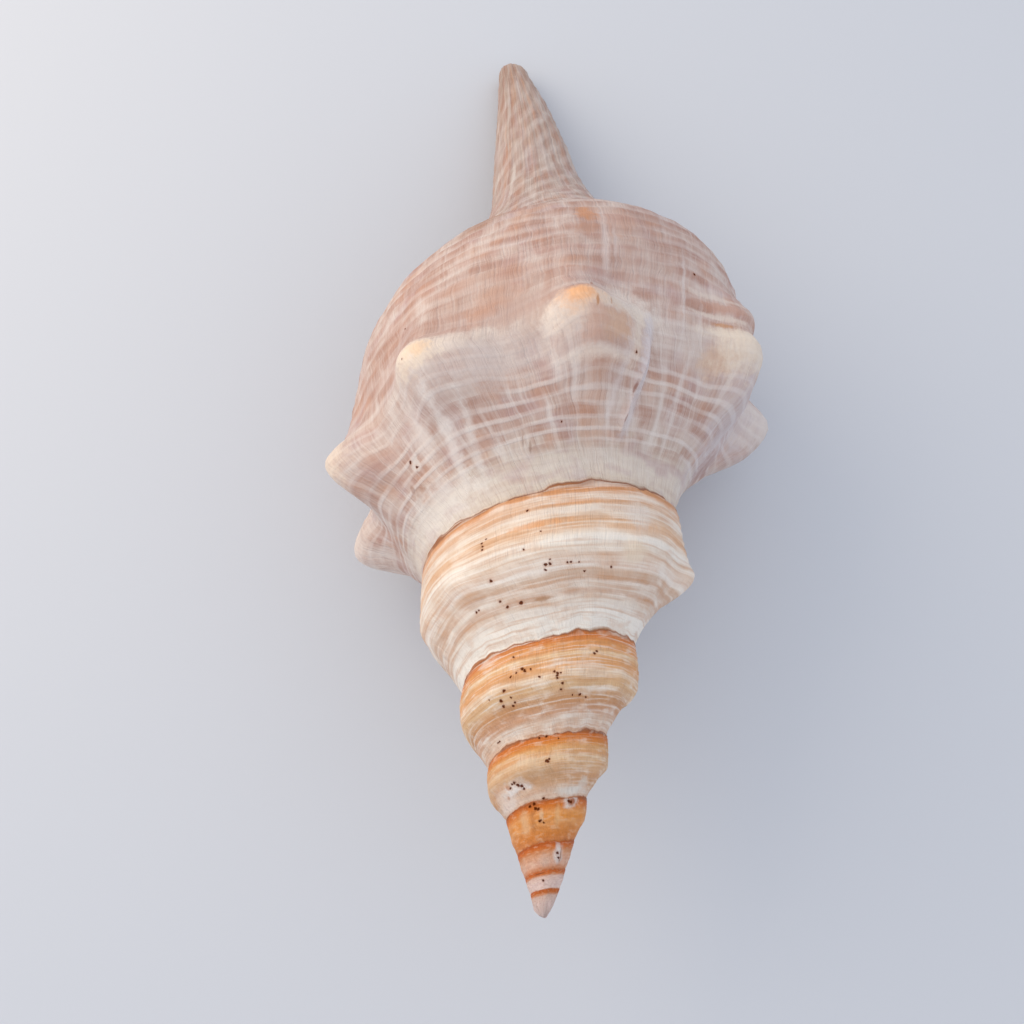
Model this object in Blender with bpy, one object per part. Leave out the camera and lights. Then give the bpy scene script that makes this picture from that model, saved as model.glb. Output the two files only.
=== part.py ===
"""A horse conch shell, lying mouth down.

One natural piece. The spire's point is at -Y, the long siphonal canal at +Y, the back of
the shell up (+Z) and the lip of its mouth at +X. Metres, standing on the plane Z = 0.

A snail's shell is one tube that grows in size while it winds round an axis. Every point of
its outside is a place on the whorl's section, t, at a growth angle, turn. One turn back the
same section is smaller by GROWTH, and each whorl starts where the next one's seam runs.
"""

import math

import bpy
import bmesh
from mathutils import Vector

# Winding
GROWTH = 1.545              # size of a whorl over the one before it
SEAM = (0.07565, 0.0269)    # seam under the last whorl, on the back: from the apex, from the axis
LIP_TURN = 134 / 360        # turn at which the shell stopped growing; 0 is on the back
WHORLS = 7                  # whorls from the lip back to the apex cap
APEX_CAP = 0.0012           # the apex, measured along the axis

# Lie of the shell: where the axis starts, and how far it dips towards the canal
AXIS_START = (-0.00470, -0.10880, 0.060)
AXIS_DIP = math.radians(14.07)

# Sections, as (along the axis from the apex, from the axis)
SPIRE_BULGE = (0.0, 0.0010, 0.0032, 0.0060, 0.0052, 0.0030, 0.0)
FIRST_BASE = (
    (0.0980, 0.0298),
    (0.1100, 0.0238),
    (0.1260, 0.0168),
    (0.1500, 0.0102),
    (0.1800, 0.0090),
    (0.2236, 0.0036),
)
LIP_SECTION = (
    (0.0975, 0.0344),
    (0.1080, 0.0430),
    (0.1190, 0.0480),
    (0.1280, 0.0485),
    (0.1370, 0.0492),
    (0.1460, 0.0480),
    (0.1550, 0.0418),
    (0.1635, 0.0292),
    (0.1720, 0.0192),
    (0.1840, 0.0125),
    (0.2010, 0.0088),
    (0.2236, 0.0036),
)
SPIRE_STEPS = 6             # the last section point that still lies on the spire
EARLY_FILL = 0.57           # how early the base of the last whorl takes the lip's section
BASE_STEPS = 1.5            # steps below the shoulder over which the base sets in
LATE_DROP = 0.30            # how far it stays behind once it is nearly there
TIP_FULL = 0.0008           # how much fuller the first whorls are than the winding's rule
TIP_ENDS = (0.004, 0.045)   # along the axis, where that is reached and where it has gone

# Canal: it leaves the axis sideways, then swings back and sags to the table
CANAL_START = 0.140
CANAL_SIDE = 0.0008
CANAL_SWING = -0.0050
CANAL_SAG = -0.0030

# Knobs on the shoulder, as (azimuth in degrees, height over the axis scale). A knob is a blunt
# tip and, later on the winding and nearer the seam, a flatter face.
KNOBS = (
    (-12.4, 0.0086),
    (31.0, 0.0063),
    (84.2, 0.0088),
    (126.5, 0.0070),
    (173.5, 0.0084),
    (213.5, 0.0131),
    (257.5, 0.0135),
    (308.0, 0.0060),
    (363.0, 0.0044),
)
EARLY_KNOBS = (0.0016, 0.0012)      # heights of the earlier ones; the last goes for all the rest
KNOB_STEP = 44.0            # degrees between the earlier knobs
KNOB_SLANT = 0.0145         # turns that a knob runs ahead in each section step towards the seam
SHOULDER = 3.1              # section place of the tips
TIP_SHARE = 0.66            # of the knob's height
TIP_WIDTH = math.radians(6.4)
TIP_REACH = 0.80            # in section steps
FACE_SHARE = 0.48
FACE_LATER = 5.4 / 360      # turns from the tip to the face
FACE_MIDDLE = 2.75          # section place of the face
FACE_WIDTH = math.radians(10.0)
FACE_REACH = 0.55
FACE_BLUNT = 4.0            # 2 would be a round top, more is flatter

# Ledge: one low swelling on the base, below the knob next to the lip
LEDGE = 0.0036
LEDGE_TURN = (90 - 28) / 360
LEDGE_WIDTH = 12 / 360      # in turns
LEDGE_STEP = 4.10           # section place of its middle
LEDGE_REACH = 0.50          # in section steps

# Hollow: its outline at the lip, first along the outer wall, then back along the columella,
# with how far that side is lifted off the shell where the cutter leaves the mouth
HOLLOW = (
    (0.1000, 0.0322),
    (0.1080, 0.0385),
    (0.1190, 0.0437),
    (0.1300, 0.0445),
    (0.1420, 0.0440),
    (0.1510, 0.0395),
    (0.1590, 0.0310),
    (0.1670, 0.0212),
    (0.1760, 0.0148),
    (0.1900, 0.0098),
)
HOLLOW_INSIDE = (
    (0.1890, 0.0066, 0.0010),
    (0.1740, 0.0074, 0.0030),
    (0.1550, 0.0086, 0.0100),
    (0.1350, 0.0126, 0.0150),
    (0.1180, 0.0189, 0.0120),
    (0.1060, 0.0245, 0.0070),
)
HOLLOW_DEPTH = 1.12         # turns that the hollow reaches back from the lip
HOLLOW_OVERRUN = 0.10       # turns that its cutter stands out of the mouth

# Slot along the canal, on the side of the mouth
SLOT_AZIMUTH = math.radians(-52)
SLOT_START = 0.170
SLOT_END = 0.228
SLOT_HALF_WIDTH = (0.0036, 0.0017)     # at its start and at the canal's tip
SLOT_MOUTH = (0.034, 0.010)            # how far the cutter reaches out from the axis, likewise
SLOT_FLOOR = 0.009                     # how far the slot's floor stays off the axis at its start
SLOT_FLOOR_FALL = 2.2                  # the floor is on the axis at 1 / this share of the slot
SLOT_FLOOR_CURVE = 1.5
SLOT_STEPS = 12

# Cutter for what the table has worn away, under the plane Z = 0
WORN_BLOCK = (0.4, 0.5, 0.1)

# Fineness of the mesh
RINGS = 48                  # steps in one whorl
SPIRE_COLUMNS = (0, 1, 2, 2.6, 3.2, 4, 5, 6)
BASE_COLUMNS = (6.7, 7.4, 8, 8.5, 9, 9.6, 10.3, 11, 12)
HOLLOW_RINGS = 40

SHELL_COLOUR = (0.61, 0.45, 0.36, 1.0)


def smooth_through(points, t):
    """A place on the smooth curve through the points; t counts them."""
    last = len(points) - 1
    first = min(int(t), last - 1)
    u = t - first
    here, there = points[first], points[first + 1]
    before = points[first - 1] if first > 0 else tuple(2 * a - b for a, b in zip(here, there))
    after = points[first + 2] if first + 2 <= last else tuple(2 * b - a for a, b in zip(here, there))
    return tuple(
        0.5 * (2 * b + (c - a) * u + (2 * a - 5 * b + 4 * c - d) * u ** 2 + (3 * b - a - 3 * c + d) * u ** 3)
        for a, b, c, d in zip(before, here, there, after)
    )


def size_at(turn):
    """Size of the whorl at this turn, over its size on the back of the last whorl."""
    return GROWTH ** turn


LIP_SIZE = size_at(LIP_TURN)
FIRST_SIZE = size_at(LIP_TURN - 1)


def spire_section():
    """The section that every whorl of the spire repeats, from its seam to the next one's."""
    points = []
    for step, bulge in enumerate(SPIRE_BULGE):
        reach = 1 + (GROWTH - 1) * step / SPIRE_STEPS
        points.append((SEAM[0] * reach, SEAM[1] * reach + bulge))
    return points


SPIRE = spire_section()
FIRST = [(FIRST_SIZE * along, FIRST_SIZE * out) for along, out in SPIRE] + list(FIRST_BASE)
LIP = [(LIP_SIZE * SEAM[0], LIP_SIZE * SEAM[1])] + list(LIP_SECTION)


def knob_list():
    """Turn and height of every knob, from the lip back to the apex."""
    knobs = [((90 - azimuth) / 360, height) for azimuth, height in KNOBS]
    turn = knobs[-1][0]
    count = 0
    while turn > LIP_TURN - WHORLS:
        turn -= KNOB_STEP / 360
        knobs.append((turn, EARLY_KNOBS[min(count, len(EARLY_KNOBS) - 1)]))
        count += 1
    return knobs


ALL_KNOBS = knob_list()


def knob_rise(turn, t):
    """How far the knobs and the ledge lift the surface here."""
    rise = 0.0
    slanted = turn - KNOB_SLANT * max(SHOULDER - t, 0)
    up_tip = (t - SHOULDER) / TIP_REACH
    up_face = abs(t - FACE_MIDDLE) / FACE_REACH
    for knob_turn, height in ALL_KNOBS:
        across_tip = math.tau * (slanted - knob_turn) / TIP_WIDTH
        across_face = math.tau * abs(slanted - knob_turn - FACE_LATER) / FACE_WIDTH
        tip = TIP_SHARE * math.exp(-0.5 * (across_tip ** 2 + up_tip ** 2))
        face = FACE_SHARE * math.exp(-0.5 * (across_face ** FACE_BLUNT + up_face ** FACE_BLUNT))
        rise += size_at(knob_turn) * height * (tip + face)
    across_ledge = (turn - LEDGE_TURN) / LEDGE_WIDTH
    up_ledge = (t - LEDGE_STEP) / LEDGE_REACH
    return rise + LEDGE * math.exp(-(across_ledge ** 2 + up_ledge ** 2))


def outside_at(turn, t):
    """The outside of the shell, as (along the axis, from the axis)."""
    size = size_at(turn)
    if turn < LIP_TURN - 1:
        along, out = smooth_through(SPIRE, t)
        along, out = size * along, size * out
    else:
        grown = (size - FIRST_SIZE) / (LIP_SIZE - FIRST_SIZE)
        early = min(max((t - SHOULDER / 2) / SHOULDER, 0), 1) * EARLY_FILL
        late = min(max((t - SHOULDER) / BASE_STEPS, 0), 1) * LATE_DROP
        share = grown + early * grown * (1 - grown) - late * grown ** 4 * (1 - grown)
        first, lip = smooth_through(FIRST, t), smooth_through(LIP, t)
        along, out = (a + share * (b - a) for a, b in zip(first, lip))
    tip_full = TIP_FULL * min(along / TIP_ENDS[0], 1) * max(1 - along / TIP_ENDS[1], 0)
    return along, out + tip_full + knob_rise(turn, t)


def canal_shift(along):
    """Sideways and upward shift of the canal at this place along the axis."""
    reach = max((along - CANAL_START) / (LIP_SECTION[-1][0] - CANAL_START), 0)
    side = CANAL_SIDE * math.sin(math.pi * min(reach, 1)) + CANAL_SWING * reach ** 2
    return side, CANAL_SAG * reach ** 3


def lay_down(across, up, along):
    """From the shell's own axis to where the shell lies."""
    return Vector((
        AXIS_START[0] + across,
        AXIS_START[1] + along * math.cos(AXIS_DIP) + up * math.sin(AXIS_DIP),
        AXIS_START[2] - along * math.sin(AXIS_DIP) + up * math.cos(AXIS_DIP),
    ))


def place(turn, along, out):
    """A point at this turn of the winding; the azimuth falls as the shell grows."""
    azimuth = math.pi / 2 - math.tau * turn
    side, up = canal_shift(along)
    return lay_down(out * math.cos(azimuth) + side, out * math.sin(azimuth) + up, along)


def strip(bm, near, far):
    """Faces between two rows of as many vertices."""
    for a, b, c, d in zip(near, near[1:], far[1:], far):
        bm.faces.new((a, b, c, d))


def new_object(name, bm, collection):
    """The mesh as an object of the collection, its faces turned outwards."""
    bmesh.ops.recalc_face_normals(bm, faces=bm.faces)
    mesh = bpy.data.meshes.new(name)
    bm.to_mesh(mesh)
    bm.free()
    item = bpy.data.objects.new(name, mesh)
    collection.objects.link(item)
    return item


def make_body(collection):
    """The closed solid of the outside, lofted from whorl section to whorl section.

    A row runs down the whorl from its seam. Where a row ends, the seam of the next whorl is,
    so both share that vertex. The rows of the last whorl go on to the canal's tip."""
    bm = bmesh.new()
    rows = []
    for ring in range(RINGS * WHORLS + 1):
        turn = LIP_TURN - ring / RINGS
        columns = SPIRE_COLUMNS if ring >= RINGS else SPIRE_COLUMNS[:-1]
        row = [bm.verts.new(place(turn, *outside_at(turn, t))) for t in columns]
        rows.append(row)
    for ring in range(RINGS):
        turn = LIP_TURN - ring / RINGS
        below = (SPIRE_COLUMNS[-1],) + BASE_COLUMNS
        rows[ring] += [bm.verts.new(place(turn, *outside_at(turn, t))) for t in below]
    # the first whorl's rows end on the seam that the last whorl starts from
    for ring in range(RINGS, len(rows)):
        bm.verts.remove(rows[ring][-1])
        rows[ring][-1] = rows[ring - RINGS][0]
    turn = LIP_TURN - 1
    under_lip = [bm.verts.new(place(turn, *outside_at(turn, t))) for t in BASE_COLUMNS]

    for ring in range(RINGS * WHORLS):
        near, far = rows[ring], rows[ring + 1]
        if ring == RINGS - 1:
            far = far + under_lip
        strip(bm, near, far[:len(near)])

    # the step under the lip, the canal's tip and the apex
    bm.faces.new(rows[0] + under_lip[::-1])
    bm.faces.new([row[-1] for row in rows[:RINGS]] + [under_lip[-1]])
    apex = bm.verts.new(lay_down(0, 0, APEX_CAP))
    rim = [row[0] for row in rows[-RINGS - 1:]] + rows[-1][1:-1]
    for a, b in zip(rim, rim[1:] + rim[:1]):
        bm.faces.new((a, b, apex))
    return new_object("shell", bm, collection)


def make_hollow(collection):
    """Cutter for the inside of the last whorl, from the mouth back to its narrow end."""
    bm = bmesh.new()
    rows = []
    for ring in range(HOLLOW_RINGS + 1):
        turn = LIP_TURN + HOLLOW_OVERRUN - (HOLLOW_DEPTH + HOLLOW_OVERRUN) * ring / HOLLOW_RINGS
        size = size_at(turn) / LIP_SIZE
        past = max(turn - LIP_TURN, 0) / HOLLOW_OVERRUN
        outline = list(HOLLOW) + [(along, out + past * lift) for along, out, lift in HOLLOW_INSIDE]
        row = [bm.verts.new(place(turn, size * along, size * out)) for along, out in outline]
        rows.append(row)
    for near, far in zip(rows, rows[1:]):
        strip(bm, near + near[:1], far + far[:1])
    bm.faces.new(rows[0])
    bm.faces.new(rows[-1])
    return new_object("hollow_cutter", bm, collection)


def make_slot(collection):
    """Cutter for the open slot of the canal, a channel with a round floor."""
    bm = bmesh.new()
    toward = Vector((math.cos(SLOT_AZIMUTH), math.sin(SLOT_AZIMUTH)))
    across = Vector((-toward.y, toward.x))
    rows = []
    for step in range(SLOT_STEPS + 1):
        share = step / SLOT_STEPS
        along = SLOT_START + (SLOT_END - SLOT_START) * share
        half = SLOT_HALF_WIDTH[0] + (SLOT_HALF_WIDTH[1] - SLOT_HALF_WIDTH[0]) * share
        mouth = SLOT_MOUTH[0] + (SLOT_MOUTH[1] - SLOT_MOUTH[0]) * share
        floor = SLOT_FLOOR * max(1 - SLOT_FLOOR_FALL * share, 0) ** SLOT_FLOOR_CURVE
        outline = [(mouth, half), (floor, half)]
        outline += [(floor - half * math.cos(a), half * math.sin(a)) for a in (math.pi / 4, 0, -math.pi / 4)]
        outline += [(floor, -half), (mouth, -half)]
        side, up = canal_shift(along)
        row = []
        for deep, wide in outline:
            flat = toward * deep + across * wide
            row.append(bm.verts.new(lay_down(flat.x + side, flat.y + up, along)))
        rows.append(row)
    for near, far in zip(rows, rows[1:]):
        strip(bm, near + near[:1], far + far[:1])
    bm.faces.new(rows[0])
    bm.faces.new(rows[-1])
    return new_object("slot_cutter", bm, collection)


def make_rest(collection):
    """Cutter for everything under the table: the places that the shell has worn flat."""
    bm = bmesh.new()
    bmesh.ops.create_cube(bm, size=1.0)
    bmesh.ops.scale(bm, vec=WORN_BLOCK, verts=bm.verts)
    bmesh.ops.translate(bm, vec=(0, 0, -WORN_BLOCK[2] / 2), verts=bm.verts)
    return new_object("rest_cutter", bm, collection)


def cut(body, cutter):
    """Take the cutter away from the body."""
    cutter.hide_render = True
    cutter.display_type = "WIRE"
    modifier = body.modifiers.new(cutter.name, "BOOLEAN")
    modifier.operation = "DIFFERENCE"
    modifier.solver = "EXACT"
    modifier.object = cutter


def shell_material():
    """Old shell: chalky and dull, with a little polish left."""
    material = bpy.data.materials.new("weathered_shell")
    material.use_nodes = True
    shader = material.node_tree.nodes["Principled BSDF"]
    shader.inputs["Base Color"].default_value = SHELL_COLOUR
    shader.inputs["Roughness"].default_value = 0.5
    shader.inputs["Metallic"].default_value = 0.0
    return material


def main():
    for item in list(bpy.data.objects):
        bpy.data.objects.remove(item)
    parts = bpy.data.collections.new("horse_conch_shell")
    cutters = bpy.data.collections.new("cutters")
    for collection in (parts, cutters):
        bpy.context.scene.collection.children.link(collection)
    shell = make_body(parts)
    shell.data.materials.append(shell_material())
    for make_cutter in (make_hollow, make_slot, make_rest):
        cut(shell, make_cutter(cutters))


main()
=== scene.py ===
"""A horse conch shell, lying mouth down on a pale floor in soft daylight."""

import math

import bpy
import bmesh
import numpy as np
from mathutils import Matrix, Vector


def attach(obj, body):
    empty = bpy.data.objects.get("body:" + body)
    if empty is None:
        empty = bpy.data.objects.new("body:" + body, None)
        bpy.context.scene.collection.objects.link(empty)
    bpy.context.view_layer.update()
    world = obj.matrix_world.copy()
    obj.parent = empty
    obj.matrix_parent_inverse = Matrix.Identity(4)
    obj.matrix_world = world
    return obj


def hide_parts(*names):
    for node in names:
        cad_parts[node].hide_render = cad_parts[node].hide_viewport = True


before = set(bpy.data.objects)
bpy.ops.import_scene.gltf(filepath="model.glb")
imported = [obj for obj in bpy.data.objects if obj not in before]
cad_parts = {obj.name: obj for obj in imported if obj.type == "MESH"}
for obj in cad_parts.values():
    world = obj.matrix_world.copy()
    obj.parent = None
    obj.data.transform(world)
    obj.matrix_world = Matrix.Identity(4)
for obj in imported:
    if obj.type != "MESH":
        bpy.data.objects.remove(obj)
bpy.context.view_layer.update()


# The outside of the shell: one wall of calcite that the snail's mantle laid down ring by ring
# while the tube grew and wound round its axis, from the point of the spire to the lip. Knobs run
# along the shoulder, and each whorl laps over the one before it in a thin, scalloped seam.

# Sizes are in metres. Places on a whorl's section are counted in steps, t, from one seam (0) to
# the next (6) and on to the canal's tip (12), and turns from the back of the last whorl (0).

GROWTH = 1.545              # size of each whorl over the one before it
SEAM = (0.07565, 0.0269)    # along the axis and out from it, on the back of the last whorl
LIP_TURN = 134 / 360
WHORLS = 7
AXIS_START = (-0.00470, -0.10880, 0.060)
AXIS_DIP = math.radians(14.07)
SPIRE_STEPS = 6
CANAL_TIP_STEP = 12
SHOULDER = 3.1
SPIRE_BULGE = (0.0, 0.0010, 0.0032, 0.0060, 0.0052, 0.0030, 0.0)
FIRST_BASE = (              # the base at the start of the last whorl, along the axis and out
    (0.0980, 0.0298), (0.1100, 0.0238), (0.1260, 0.0168), (0.1500, 0.0102), (0.1800, 0.0090),
    (0.2236, 0.0036))
LIP_SECTION = (
    (0.0975, 0.0344), (0.1080, 0.0430), (0.1190, 0.0480), (0.1280, 0.0485), (0.1370, 0.0492),
    (0.1460, 0.0480), (0.1550, 0.0418), (0.1635, 0.0292), (0.1720, 0.0192), (0.1840, 0.0125),
    (0.2010, 0.0088), (0.2236, 0.0036))
TIP_FULL = 0.0008           # how much fuller the earliest whorls are,
TIP_ENDS = (0.004, 0.045)   # at its fullest and faded out at these places along the axis
EARLY_FILL = 0.57           # how far the section below the ramp grows ahead of the rest,
LATE_DROP = 0.30            # how far the base falls behind again near the lip,
LATE_STEPS = 1.5            # and over how many steps
CANAL_START = 0.140
CANAL_END = 0.2236
CANAL_SIDE = 0.0008
CANAL_SWING = -0.0050
CANAL_SAG = -0.0030
KNOBS = (                   # azimuth and height of each knob of the last whorl
    (-12.4, 0.0086), (31.0, 0.0063), (84.2, 0.0088), (126.5, 0.0070), (173.5, 0.0084),
    (213.5, 0.0131), (257.5, 0.0135), (308.0, 0.0060), (363.0, 0.0044))
EARLY_KNOBS = (0.0016, 0.0012)
KNOB_STEP = 44.0
KNOB_WIDTH = math.radians(6.4)
KNOB_REACH = 0.80
KNOB_SLANT = 0.0145         # turns that a knob's crest leans back for each step of the ramp
TIP_SHARE = 0.66            # a knob is this share of a round tip,
FACE_SHARE = 0.48           # and this share of a blunt face that comes later
FACE_LATER = 5.4 / 360
FACE_WIDTH = math.radians(10.0)
FACE_MIDDLE = 2.75
FACE_REACH = 0.55
FACE_BLUNT = 4.0
LEDGE = 0.0036              # height of the swelling below the knob by the lip
LEDGE_TURN = (90 - 28) / 360
LEDGE_WIDTH = 12 / 360
LEDGE_STEP = 4.10
LEDGE_REACH = 0.50
PLAIN_TURNS = (-4.4, -3.2)  # before the first of these turns the whorls have flat sides
LUMPS = 0.0011              # how uneven the worn spire is,
LUMP_TURNS = (-0.9, -1.7, -4.6, -5.6)   # and where that comes in and fades
LAP_HEIGHT = 0.0007         # how far a whorl's upper edge stands over the one before it,
LAP_STEPS = (0.09, 0.15, 1.3)           # where it is up, and where it falls off
SCALLOP = 0.0010            # how far the seam wanders
SCALLOP_STEPS = 1.1
SCALLOPS_PER_WHORL = 30.0
SCALLOP_MIX = (2.6, 0.6, 0.24)  # share of the lobes, and share and turns of one long wave
CORDS_PER_STEP = (5.0, 2.7, 6.0)        # on the ramp, the base and the canal,
CORD_STEPS = (3, 8)         # which begin and end at these steps
CORD_PHASE = 0.35
CORD_SWAY = 0.9             # in cords, over 14 mm
CORD_HEIGHT = 0.00005
BASE_CORD_HEIGHT = 0.00015  # added to it on the base, between these steps,
BASE_CORD_STEPS = (3.4, 4.4)
CANAL_CORD_LOSS = 0.75      # and mostly lost again on the canal
CANAL_CORD_STEPS = (6.5, 8.0)
SWELLS_PER_TURN = 46.0      # swells across the winding, from the snail's rests in growing
SWELLS_PER_STEP = 0.35
SWELL_HEIGHT = 0.0005
WEAR_HEIGHT = 0.0010        # dents of 9 mm all over
RELIEF_SPOTS = (            # azimuth, step, half widths in degrees and steps, height: scars, cords
    (63.5, 2.20, 1.8, 1.10, -0.0010), (60.5, 2.40, 1.8, 0.90, 0.0004),
    (40.0, 3.72, 12.0, 0.09, 0.0004), (41.0, 4.22, 12.0, 0.09, 0.0004),
    (84.0, 3.92, 9.0, 0.10, 0.0003), (72.0, 2.28, 10.0, 0.07, 0.0003),
    (126.0, 3.60, 8.0, 0.09, 0.0003), (1208.0, 1.75, 18.0, 0.55, -0.0004),
    (1132.0, 0.62, 20.0, 0.34, 0.0004), (1493.0, 5.25, 7.0, 0.60, -0.0007),
    (1860.0, 3.20, 8.0, 1.50, -0.0006), (1850.0, 3.60, 4.0, 1.20, 0.0004))
SPOT_EDGE = (1.4, 0.4)      # in half widths

RINGS = 200                 # steps in one whorl of the fine mesh
SPIRE_COLUMNS = 44          # steps from seam to seam
BASE_COLUMNS = 126          # steps from there to the canal's tip
EVEN_SHARE = 0.72           # the rest of the spacing crowds the columns at the seams
WELD = 0.000002


def smooth_through(points, t):
    """A place on the smooth curve through the points; t counts them."""
    last = len(points) - 1
    first = min(int(t), last - 1)
    u = t - first
    here, there = points[first], points[first + 1]
    before = points[first - 1] if first > 0 else tuple(2 * a - b for a, b in zip(here, there))
    after = points[first + 2] if first + 1 < last else tuple(2 * b - a for a, b in zip(here, there))
    return tuple(
        0.5 * (2 * b + (c - a) * u + (2 * a - 5 * b + 4 * c - d) * u ** 2
               + (3 * b - a - 3 * c + d) * u ** 3)
        for a, b, c, d in zip(before, here, there, after)
    )


def ramp(value, start, end):
    """0 before start, 1 after end, and smooth between them."""
    share = min(max((value - start) / (end - start), 0.0), 1.0)
    return share * share * (3 - 2 * share)


def size_at(turn):
    """Size of the whorl at this turn, over its size on the back of the last whorl."""
    return GROWTH ** turn


LIP_SIZE = size_at(LIP_TURN)
FIRST_SIZE = size_at(LIP_TURN - 1)


def grown_at(turn):
    """How far the last whorl has grown here, 0 at its start and 1 at the lip."""
    return (size_at(turn) - FIRST_SIZE) / (LIP_SIZE - FIRST_SIZE)


SPIRE = []
for step, bulge in enumerate(SPIRE_BULGE):
    reach = 1 + (GROWTH - 1) * step / SPIRE_STEPS
    SPIRE.append((SEAM[0] * reach, SEAM[1] * reach + bulge))
FIRST = [(FIRST_SIZE * along, FIRST_SIZE * out) for along, out in SPIRE] + list(FIRST_BASE)
LIP = [(LIP_SIZE * SEAM[0], LIP_SIZE * SEAM[1])] + list(LIP_SECTION)


def table(name, places, **columns):
    """A helper mesh of loose points that the winding reads, with its named values as attributes."""
    points = bpy.data.meshes.new(name)
    points.from_pydata(places, [], [])
    for key, values in columns.items():
        kind = "FLOAT_VECTOR" if isinstance(values[0], tuple) else "FLOAT"
        attribute = points.attributes.new(key, kind, "POINT")
        field = "vector" if kind == "FLOAT_VECTOR" else "value"
        attribute.data.foreach_set(field, np.ravel(values))
    return bpy.data.objects.new(name, points)


def cords_to(t):
    """How many cords lie between the seam and this step."""
    start, end = CORD_STEPS
    ramp_cords, base_cords, canal_cords = CORDS_PER_STEP
    return (ramp_cords * min(t, start) + base_cords * min(max(t - start, 0), end - start)
            + canal_cords * max(t - end, 0))


def cord_height(t):
    """How high the cords are at this step."""
    on_base, on_canal = ramp(t, *BASE_CORD_STEPS), ramp(t, *CANAL_CORD_STEPS)
    return CORD_HEIGHT + BASE_CORD_HEIGHT * on_base * (1 - CANAL_CORD_LOSS * on_canal)


places = []
for i in range(SPIRE_COLUMNS + 1):
    share = i / SPIRE_COLUMNS
    places.append(SPIRE_STEPS * (EVEN_SHARE * share + (1 - EVEN_SHARE) * ramp(share, 0, 1)))
for i in range(1, BASE_COLUMNS + 1):
    places.append(SPIRE_STEPS + (CANAL_TIP_STEP - SPIRE_STEPS) * i / BASE_COLUMNS)
lap_up, lap_from, lap_to = LAP_STEPS
sections = table(
    "section_table",
    [(0, 0, t) for t in places],
    spire=[smooth_through(SPIRE, min(t, SPIRE_STEPS)) + (0.0,) for t in places],
    first=[smooth_through(FIRST, t) + (0.0,) for t in places],
    lip=[smooth_through(LIP, t) + (0.0,) for t in places],
    early=[min(max((t - SHOULDER / 2) / SHOULDER, 0), 1) * EARLY_FILL for t in places],
    late=[min(max((t - SHOULDER) / LATE_STEPS, 0), 1) * LATE_DROP for t in places],
    knob=[math.exp(-0.5 * ((t - SHOULDER) / KNOB_REACH) ** 2) for t in places],
    face=[math.exp(-0.5 * (abs(t - FACE_MIDDLE) / FACE_REACH) ** FACE_BLUNT) for t in places],
    ledge=[math.exp(-((t - LEDGE_STEP) / LEDGE_REACH) ** 2) for t in places],
    slant=[KNOB_SLANT * max(SHOULDER - t, 0) * RINGS for t in places],
    lap=[ramp(t, 0, lap_up) * (1 - ramp(t, lap_from, lap_to)) for t in places],
    wander=[1 - ramp(t, 0, SCALLOP_STEPS) for t in places],
    swell=[smooth_through([(b,) for b in SPIRE_BULGE], min(t, SPIRE_STEPS))[0] for t in places],
    cord=[CORD_PHASE + cords_to(t) for t in places],
    cord_height=[cord_height(t) for t in places],
)

knobs = [((90 - azimuth) / 360, height) for azimuth, height in KNOBS]
knob_turn = knobs[-1][0]
while knob_turn > LIP_TURN - WHORLS:
    knob_turn -= KNOB_STEP / 360
    early = min(len(knobs) - len(KNOBS), len(EARLY_KNOBS) - 1)
    knobs.append((knob_turn, EARLY_KNOBS[early]))


def knobs_at(turn, share, later, width, power):
    """Height here of that share of the knobs."""
    return sum(
        size_at(k) * height * share
        * math.exp(-0.5 * abs(math.tau * (turn - k - later) / width) ** power)
        for k, height in knobs
    )


turns = [LIP_TURN - ring / RINGS for ring in range(RINGS * WHORLS + 1)]
lumps_in, lumps_full, lumps_last, lumps_out = LUMP_TURNS
growth = table(
    "growth_table",
    [(0, 0, turn) for turn in turns],
    size=[size_at(turn) for turn in turns],
    grown=[grown_at(turn) for turn in turns],
    fill=[grown_at(turn) * (1 - grown_at(turn)) for turn in turns],
    drop=[grown_at(turn) ** 4 * (1 - grown_at(turn)) for turn in turns],
    rise=[knobs_at(turn, TIP_SHARE, 0, KNOB_WIDTH, 2) for turn in turns],
    block=[knobs_at(turn, FACE_SHARE, FACE_LATER, FACE_WIDTH, FACE_BLUNT) for turn in turns],
    plain=[1 - ramp(turn, *PLAIN_TURNS) for turn in turns],
    lumps=[LUMPS * ramp(turn, lumps_in, lumps_full) * ramp(turn, lumps_out, lumps_last)
           for turn in turns],
    bulge=[LEDGE * math.exp(-((turn - LEDGE_TURN) / LEDGE_WIDTH) ** 2) for turn in turns],
)


def linear(code):
    """An sRGB hex colour as the linear colour that a socket takes."""
    parts = [int(code[i:i + 2], 16) / 255 for i in (1, 3, 5)]
    parts = [c / 12.92 if c <= 0.04045 else ((c + 0.055) / 1.055) ** 2.4 for c in parts]
    return (*parts, 1.0)


outside = bpy.data.materials.new("weathered_shell")
outside.use_nodes = True
outside.node_tree.nodes["Principled BSDF"].inputs["Base Color"].default_value = linear("#C9AFA3")

M, V = "ShaderNodeMath", "ShaderNodeVectorMath"
RANGE, NOISE = "ShaderNodeMapRange", "ShaderNodeTexNoise"
STORE, READ = "GeometryNodeStoreNamedAttribute", "GeometryNodeInputNamedAttribute"
PICK = "GeometryNodeSampleIndex"


def add(tree, kind, inputs=(), output=0, **settings):
    """Adds a node with its settings, links or fills its inputs, and gives back one output.

    Inputs are given in order, or by name or number where some keep their usual value.
    """
    node = tree.nodes.new(kind)
    for key, value in settings.items():
        setattr(node, key, value)
    for key, value in (inputs.items() if isinstance(inputs, dict) else enumerate(inputs)):
        if isinstance(value, bpy.types.NodeSocket):
            tree.links.new(value, node.inputs[key])
        else:
            node.inputs[key].default_value = value
    return node.outputs[output]


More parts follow.
